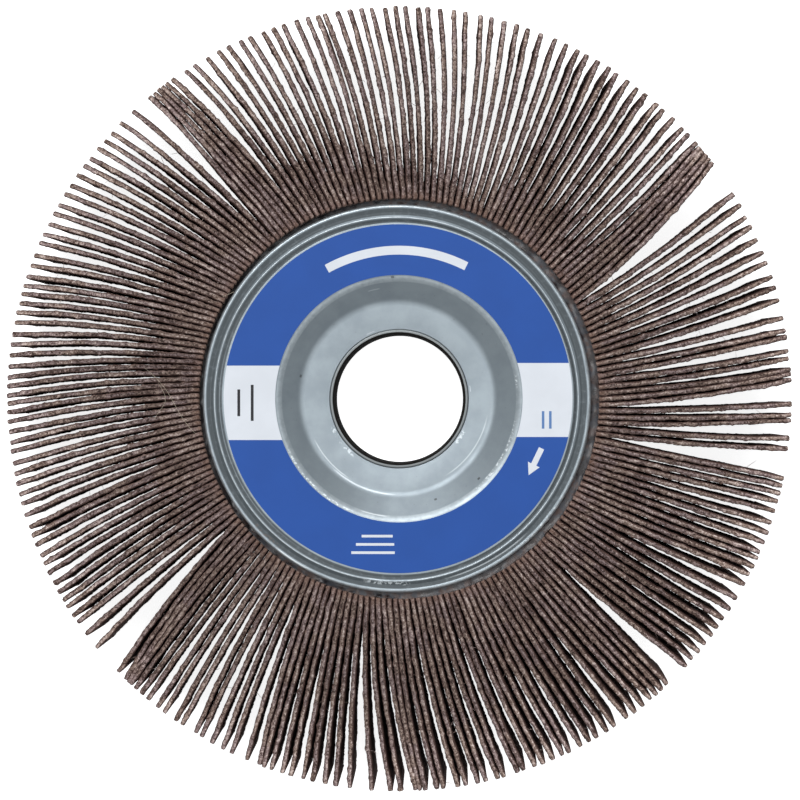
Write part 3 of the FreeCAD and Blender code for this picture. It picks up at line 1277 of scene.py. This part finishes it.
@dataclass
class PressedFlange:
    """One dished flange with rounded bends, a bead round its land and a rolled lip."""

    side: Side
    segments: int = 320
    bore_radius: float = 13.52
    floor_radius: float = 18.9
    land_radius: float = 23.6
    floor_z: float = 8.8
    land_z: float = 12.2
    thickness: float = 1.2
    bead_foot: float = 34.05
    groove_radius: float = 34.50
    groove_depth: float = 0.12
    bead_crest: float = 35.20
    bead_height: float = 0.42
    valley_radius: float = 36.05
    valley_depth: float = 0.28
    lip_crest: float = 37.20
    lip_height: float = 0.36
    lip_radius: float = 37.62
    lip_z: float = 11.95
    skirt_z: float = 8.62
    dish_middle: Point2 = (-0.33, 0.10)
    dish_reach: float = 2.2
    bead_from: float = 33.9
    bead_over: float = 0.8
    lip_from: float = 35.6
    lip_over: float = 1.2
    wave: float = 0.025
    ripple: float = 0.012
    dents: tuple[tuple[float, float, float, float, float], ...] = (
        (35.3, 0.5, 262.0, 3.0, 0.22),
        (35.4, 0.5, 271.0, 2.5, 0.16),
        (37.2, 0.5, 314.0, 2.2, 0.14),
        (37.2, 0.5, 324.0, 3.0, 0.18),
        (37.3, 0.4, 355.0, 2.0, 0.20),
        (37.3, 0.4, 9.0, 3.0, 0.18),
    )

    def outline(self) -> list[Point2]:
        """The pressing's section on the front side, anticlockwise."""
        t = self.thickness
        rise, run = self.land_z - self.floor_z, self.land_radius - self.floor_radius
        inside = t * math.tan(math.atan2(rise, run) / 2)
        outer = [
            (self.bore_radius, self.floor_z, 0.12),
            (self.floor_radius, self.floor_z, 2.4),
            (self.land_radius, self.land_z, 3.6),
            (self.bead_foot, self.land_z, 0.10),
            (self.groove_radius, self.land_z - self.groove_depth, 0.20),
            (self.bead_crest, self.land_z + self.bead_height, 0.16),
            (self.valley_radius, self.land_z - self.valley_depth, 0.30),
            (self.lip_crest, self.land_z + self.lip_height, 0.40),
            (self.lip_radius, self.lip_z, 0.30),
            (self.lip_radius, self.skirt_z, 0.1),
        ]
        inner = [
            (self.lip_radius - t, self.skirt_z, 0.1),
            (self.lip_radius - t, self.land_z - t, 0.5),
            (self.land_radius + inside, self.land_z - t, 2.4),
            (self.floor_radius + inside, self.floor_z - t, 3.2),
            (self.bore_radius, self.floor_z - t, 0.12),
        ]
        return rounded(outer + inner)[::-1]

    def shift(self, radius: np.ndarray, z: np.ndarray, angle: np.ndarray) -> Points3:
        """The pressing's unevenness: dish, bead and lip off centre, a wavy rim, and dents."""
        dish = np.exp(-(((radius - self.floor_radius) / self.dish_reach) ** 2))
        rim = np.clip((radius - self.bead_from) / self.bead_over, 0, 1)
        lip = np.clip((radius - self.lip_from) / self.lip_over, 0, 1)
        dx, dy = (
            self.dish_middle[k] * dish
            + BEAD_MIDDLE[k] * rim
            + (LIP_MIDDLE[k] - BEAD_MIDDLE[k]) * lip
            for k in (0, 1)
        )
        dz = self.wave * rim * np.sin(3 * angle + 0.8)
        dz = dz + self.ripple * rim * np.sin(41 * angle) * np.sin(7 * angle)
        for far, width, at, sweep, depth in self.dents if self.side is Side.FRONT else ():
            aside = (np.degrees(angle) - at + 180) % 360 - 180
            dz = dz - depth * np.exp(-(((radius - far) / width) ** 2) - (aside / sweep) ** 2)
        return dx, dy, dz * np.sign(z)

    def build(self, material: bpy.types.Material) -> None:
        """Make the piece.

        Args:
            material: Its finish.
        """
        sign = self.side.value
        outline = [(radius, sign * z) for radius, z in self.outline()][::sign]
        surface = Surface()
        lathe(surface, outline, self.segments, shift=self.shift)
        name = self.side.name.lower()
        surface.piece(f"pressed_{name}_flange", [material], Slot.FLANGE, [f"{name}_flange"])


@dataclass
class ArborSleeve:
    """The tube in the bore, its ends rounded over."""

    inner: float = 12.7
    outer: float = 13.5
    end: float = 9.15

    def build(self) -> None:
        """Make the piece."""
        corners = [
            (self.inner, -self.end, 0.18),
            (self.outer, -self.end, 0.22),
            (self.outer, self.end, 0.22),
            (self.inner, self.end, 0.18),
        ]
        surface = Surface()
        lathe(surface, rounded(corners), 240)
        surface.piece("drawn_sleeve", [TubeSteel().material()], Slot.SLEEVE, ["arbor_sleeve"])


@dataclass
class ResinBond:
    """The cast core, and the resin that squeezed out beside each rim."""

    inner: float = 13.52
    outer: float = 32.40
    half: float = 7.58
    bead_inner: float = 37.0
    bead_outer: float = 38.95
    bead_bottom: float = 8.64
    front_level: float = 9.5
    front_extra: float = 1.5
    high_side: float = 330.0
    rear_level: float = 9.9
    lump: float = 0.16
    ragged: float = 0.10
    bulge: float = 0.10
    climb: float = 0.35
    segments: int = 720

    def build_core(self, material: bpy.types.Material) -> None:
        """Make the ring between the flanges, the sleeve and the flaps."""
        corners = [
            (self.inner, -self.half, 0.1),
            (self.outer, -self.half, 0.3),
            (self.outer, self.half, 0.3),
            (self.inner, self.half, 0.1),
        ]
        surface = Surface()
        lathe(surface, rounded(corners), 192)
        surface.piece("cast_core", [material], Slot.RESIN, ["resin_core"])

    def level(self, rng: np.random.Generator, side: Side) -> np.ndarray:
        """How high the squeezed-out resin stands round the wheel, in millimetres of z."""
        turn = np.linspace(0, 2 * math.pi, self.segments, endpoint=False)
        high = 0.5 + 0.5 * np.cos(turn - math.radians(self.high_side))
        front = self.front_level + self.front_extra * high
        base = front if side is Side.FRONT else self.rear_level
        return base + self.lump * ring_noise(rng, self.segments, 60, 0.4)

    def build_bead(self, material: bpy.types.Material, side: Side) -> None:
        """Make the ring of resin beside one rim.

        Args:
            material: Its finish.
            side: Which side of the wheel.
        """
        rng = np.random.default_rng(SEED + 900 + side.value)
        level = self.level(rng, side)
        ragged = self.ragged * ring_noise(rng, self.segments, 110, 0.2)
        shares = np.array([0.0, 0.2, 0.45, 0.7, 0.9, 1.0])
        turn = np.linspace(0, 2 * math.pi, self.segments, endpoint=False)
        rings = []
        surface = Surface()
        for share in shares:
            radius = self.bead_inner + (self.bead_outer + ragged - self.bead_inner) * share
            uneven = ring_noise(rng, self.segments, 150, 0.3)
            bulge = self.bulge * uneven * math.sin(math.pi * share)
            climb = self.climb * (2 * share - 1) ** 2
            z = (level + bulge + climb) * side.value
            rings.append(np.stack([radius * np.cos(turn), radius * np.sin(turn), z], -1))
        for radius in (self.bead_outer, self.bead_inner):
            z = np.full(self.segments, self.bead_bottom * side.value)
            rings.append(np.stack([radius * np.cos(turn), radius * np.sin(turn), z], -1))
        grid = np.stack(rings, 1)
        first = surface.add_points(grid.reshape(-1, 3))
        count = len(rings)
        for i in range(self.segments):
            here = list(range(first + i * count, first + (i + 1) * count))
            after = (i + 1) % self.segments
            there = list(range(first + after * count, first + (after + 1) * count))
            pair = (here, there) if side is Side.FRONT else (there, here)
            surface.add_strip(*pair, [0] * count)
        surface.piece(f"squeezed_resin_{side.name.lower()}", [material], Slot.RESIN)

    def build(self) -> None:
        """Make the core and both beads."""
        material = CastResin().material()
        self.build_core(material)
        for side in Side:
            self.build_bead(material, side)


class Ink(Enum):
    """The label's colours, by the number of their finish."""

    BLUE = 0
    WHITE = 1
    DARK = 2
    SKY = 3


@dataclass(frozen=True)
class PrintedShape:
    """One plain shape on the label."""

    ink: Ink
    outline: tuple[Point2, ...]

    def holds(self, x: float, y: float) -> bool:
        """Whether a point lies inside the outline."""
        inside = False
        for (ax, ay), (bx, by) in zip(self.outline, self.outline[1:] + self.outline[:1]):
            if (ay > y) != (by > y) and x < ax + (bx - ax) * (y - ay) / (by - ay):
                inside = not inside
        return inside


@dataclass
class FrontLabel:
    """The ring-shaped label: blue, with two white fields, a turning arrow and plain bars."""

    inner: float = 23.95
    outer: float = 33.76
    outer_middle: float = LAND_MIDDLE[0]
    seat_z: float = 12.2
    top_z: float = 12.34
    left_field: Point2 = (-8.0, 6.4)
    right_field: Point2 = (-7.4, 6.9)

    @staticmethod
    def bar(ink: Ink, centre: Point2, length: float, width: float, turn: float) -> PrintedShape:
        """A straight bar about its centre, turned from the x axis by degrees."""
        c, s = math.cos(math.radians(turn)), math.sin(math.radians(turn))
        corners = [(-length, -width), (length, -width), (length, width), (-length, width)]
        across, up = centre
        points = [(across + (c * x - s * y) / 2, up + (s * x + c * y) / 2) for x, y in corners]
        return PrintedShape(ink, tuple(points))

    @staticmethod
    def arc_band(ink: Ink, inner: float, outer: float, start: float, stop: float) -> PrintedShape:
        """A band between two radii and two angles in degrees."""
        turns = np.radians(np.linspace(start, stop, 49))
        away = [(outer * math.cos(t), outer * math.sin(t)) for t in turns]
        back = [(inner * math.cos(t), inner * math.sin(t)) for t in turns[::-1]]
        return PrintedShape(ink, tuple(away + back))

    def field_shape(self, side: int, low: float, high: float) -> PrintedShape:
        """A white field across the ring with level edges, on the side given by its sign."""
        far, near = self.outer + 0.5, self.inner - 0.5
        steps = np.linspace(low, high, 13)
        inside = [(side * math.sqrt(near**2 - y**2), float(y)) for y in steps]
        outside = [(side * math.sqrt(far**2 - y**2), float(y)) for y in steps[::-1]]
        return PrintedShape(Ink.WHITE, tuple(inside + outside))

    def arrow(self) -> PrintedShape:
        """The arrow that shows which way the wheel turns."""
        tail, tip = np.array([27.6, -9.6]), np.array([25.1, -14.8])
        shaft_half, head_half, head_length = 0.55, 1.25, 2.3
        length = float(np.linalg.norm(tip - tail))
        ahead = (tip - tail) / length
        aside = np.array([-ahead[1], ahead[0]])
        neck = length - head_length
        marks = [(0, shaft_half), (neck, shaft_half), (neck, head_half), (length, 0)]
        marks += [(neck, -head_half), (neck, -shaft_half), (0, -shaft_half)]
        return PrintedShape(Ink.WHITE, tuple(tuple(tail + ahead * a + aside * b) for a, b in marks))

    def shapes(self) -> list[PrintedShape]:
        """Everything that is printed, with the later ones on top."""
        return [
            self.field_shape(-1, *self.left_field),
            self.field_shape(1, *self.right_field),
            self.arrow(),
            self.arc_band(Ink.WHITE, 27.9, 29.6, 63, 119),
            self.bar(Ink.DARK, (-28.4, -0.8), 7.0, 0.55, 90),
            self.bar(Ink.DARK, (-31.0, -0.8), 5.2, 0.55, 90),
            self.bar(Ink.SKY, (27.9, -4.1), 3.4, 0.5, 90),
            self.bar(Ink.SKY, (29.3, -4.1), 3.4, 0.5, 90),
            self.bar(Ink.WHITE, (-4.2, -26.6), 6.0, 0.5, 0),
            self.bar(Ink.WHITE, (-4.6, -28.2), 7.4, 0.5, 0),
            self.bar(Ink.WHITE, (-5.0, -29.8), 8.4, 0.5, 0),
        ]

    def build(self) -> None:
        """Make the piece: a flat ring cut along every printed edge, with a thin wall."""
        segments = 240
        turns = np.linspace(0, 2 * math.pi, segments, endpoint=False)
        rims = ((self.inner, 0.0), (self.outer, self.outer_middle))
        loops = [[(middle + r * math.cos(t), r * math.sin(t)) for t in turns] for r, middle in rims]
        shapes = self.shapes()
        loops += [list(shape.outline) for shape in shapes]
        points: list[Vector] = []
        edges: list[tuple[int, int]] = []
        for loop in loops:
            start = len(points)
            points += [Vector(point) for point in loop]
            edges += [(start + k, start + (k + 1) % len(loop)) for k in range(len(loop))]
        flat, _, faces, *_ = delaunay_2d_cdt(points, edges, [], 0, 1e-5)
        surface = Surface()
        first = surface.add_points(np.array([[p.x, p.y, self.top_z] for p in flat]))
        for face in faces:
            x = sum(flat[k].x for k in face) / len(face)
            y = sum(flat[k].y for k in face) / len(face)
            if math.hypot(x, y) < self.inner or math.hypot(x - self.outer_middle, y) > self.outer:
                continue
            ink = Ink.BLUE
            for shape in shapes:
                if shape.holds(x, y):
                    ink = shape.ink
            surface.add_face([first + k for k in face], ink.value)
        (near, near_x), (far, far_x) = rims
        section = [
            (near, near_x, self.top_z),
            (near, near_x, self.seat_z),
            (far, far_x, self.seat_z),
            (far, far_x, self.top_z),
        ]
        grid = np.array([
            [x + r * math.cos(t), r * math.sin(t), z] for t in turns for r, x, z in section
        ])
        start = surface.add_points(grid)
        for i in range(segments):
            here, there = start + 4 * i, start + 4 * ((i + 1) % segments)
            for k in range(3):
                corners = (here + k, here + k + 1, there + k + 1, there + k)
                surface.add_face(corners, Ink.WHITE.value)
        materials = [
            PrintedPaper("blue_print", (0.013, 0.073, 0.325)).material(),
            PrintedPaper("white_paper", (0.65, 0.68, 0.73)).material(),
            PrintedPaper("dark_print", (0.020, 0.020, 0.024)).material(),
            PrintedPaper("pale_blue_print", (0.10, 0.20, 0.42)).material(),
        ]
        piece = surface.piece("printed_label", materials, Slot.LABEL, ["front_label"], smooth=False)
        self.weld(piece)

    @staticmethod
    def weld(piece: bpy.types.Object) -> None:
        """Join the printed face to its walls and drop unused points."""
        shell = bmesh.new()
        shell.from_mesh(piece.data)
        bmesh.ops.remove_doubles(shell, verts=shell.verts, dist=0.002 * MM)
        loose = [vertex for vertex in shell.verts if not vertex.link_faces]
        bmesh.ops.delete(shell, geom=loose, context="VERTS")
        shell.to_mesh(piece.data)
        shell.free()


# The studio


@dataclass(frozen=True)
class Softbox:
    """A square soft light that faces the wheel: place and side in millimetres, power in watts."""

    name: str
    place: tuple[float, float, float]
    size: float
    power: float

    def hang(self) -> None:
        """Make the light and hang it."""
        light = bpy.data.lights.new(self.name, "AREA")
        light.shape = "SQUARE"
        light.size = self.size * MM
        light.energy = self.power
        lamp = bpy.data.objects.new(self.name, light)
        bpy.context.scene.collection.objects.link(lamp)
        lamp.location = Vector(self.place) * MM
        lamp.rotation_euler = (-lamp.location).to_track_quat("-Z", "Y").to_euler()


@dataclass
class Studio:
    """A pale floor, soft lights from above left, and the camera straight above the wheel."""

    floor_z: float = -12.7
    floor_half: float = 2500.0
    lens: float = 113.4
    sensor: float = 36.0
    eye: tuple[float, float, float] = (5.0, -0.8, 500.0)
    aim: tuple[float, float, float] = (0.10, -0.24, 0.0)
    softboxes: tuple[Softbox, ...] = (
        Softbox("key", (-190, 560, 1000), 700, 6.6),
        Softbox("top", (0, 0, 1250), 1800, 9.6),
        Softbox("low", (-60, 1000, 380), 700, 2.0),
    )
    room_colour: tuple[float, float, float, float] = (0.93, 0.97, 1.0, 1.0)
    room_strength: float = 0.38

    def camera(self) -> None:
        """Make the camera and aim it."""
        lens = bpy.data.cameras.new("camera")
        lens.lens = self.lens
        lens.sensor_width = self.sensor
        lens.clip_start, lens.clip_end = 0.01, 20.0
        camera = bpy.data.objects.new("camera", lens)
        bpy.context.scene.collection.objects.link(camera)
        eye, aim = Vector(self.eye) * MM, Vector(self.aim) * MM
        back = (eye - aim).normalized()
        right = Vector((0, 1, 0)).cross(back).normalized()
        camera.location = eye
        camera.rotation_euler = Matrix((right, back.cross(right), back)).transposed().to_euler()
        bpy.context.scene.camera = camera

    def floor(self) -> None:
        """Lay the floor."""
        half = self.floor_half
        corners = [(-half, -half), (half, -half), (half, half), (-half, half)]
        mesh = bpy.data.meshes.new("floor")
        points = [(x * MM, y * MM, self.floor_z * MM) for x, y in corners]
        mesh.from_pydata(points, [], [(0, 1, 2, 3)])
        mesh.materials.append(PaleFloor().material())
        floor = bpy.data.objects.new("floor", mesh)
        bpy.context.scene.collection.objects.link(floor)

    def lights(self) -> None:
        """Hang the lights and set the room's even light."""
        for softbox in self.softboxes:
            softbox.hang()
        world = bpy.data.worlds.new("room")
        world.use_nodes = True
        room = world.node_tree.nodes["Background"]
        room.inputs["Color"].default_value = self.room_colour
        room.inputs["Strength"].default_value = self.room_strength
        bpy.context.scene.world = world

    def build(self) -> None:
        """Set up the studio and plain colour handling."""
        self.camera()
        self.floor()
        self.lights()
        view = bpy.context.scene.view_settings
        view.view_transform = "Standard"
        view.look = "None"
        view.exposure = 0.0
        view.gamma = 1.0


def main() -> None:
    """Build everything in order."""
    logging.basicConfig(level=logging.INFO, format="%(name)s: %(message)s")
    Studio().build()
    FlapFan().build()
    LooseThreads().build()
    zinc = ZincPlate().material()
    for side in Side:
        PressedFlange(side).build(zinc)
    ArborSleeve().build()
    ResinBond().build()
    FrontLabel().build()


if __name__ == "__main__":
    main()
